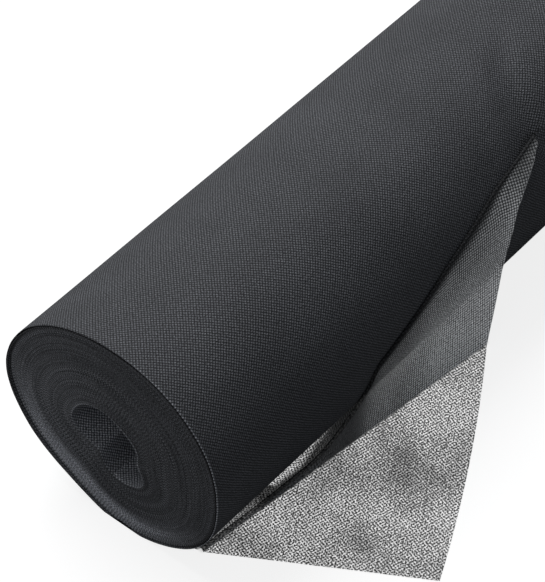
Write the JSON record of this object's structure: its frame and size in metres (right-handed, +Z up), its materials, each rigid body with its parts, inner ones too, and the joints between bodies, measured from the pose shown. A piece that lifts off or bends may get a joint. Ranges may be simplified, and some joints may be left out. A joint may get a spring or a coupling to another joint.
{
  "type": "geotextile roll",
  "caption": "Coreless roll of black spunbond geotextile lying on its side, with one corner of its outer turn turned back and spread flat on the floor.",
  "frame": {"origin": "on the floor, at the middle of the flat strip that the roll rests on", "axes": "+X along the roll, away from the end with the turned-back corner; +Z up; the corner is spread on the floor towards -Y"},
  "size_m": [1, 0.2048, 0.1265],
  "materials": {
    "wound_geotextile": "matte",
    "single_geotextile": "matte"
  },
  "bodies": {
    "roll": {"winding": "wound_geotextile", "outer_wrap": "wound_geotextile", "turned_back_sheet": "single_geotextile"},
    "tail_flap": {"tail_flap": "single_geotextile"}
  },
  "joints": [
    {"name": "flap_lift", "type": "hinge", "parent": "roll", "child": "tail_flap", "pos_m": [-0.4875, -0.04322, 0.0008], "axis": [-0.9919, 0.1268, 0], "range_deg": [0, 60]}
  ]
}
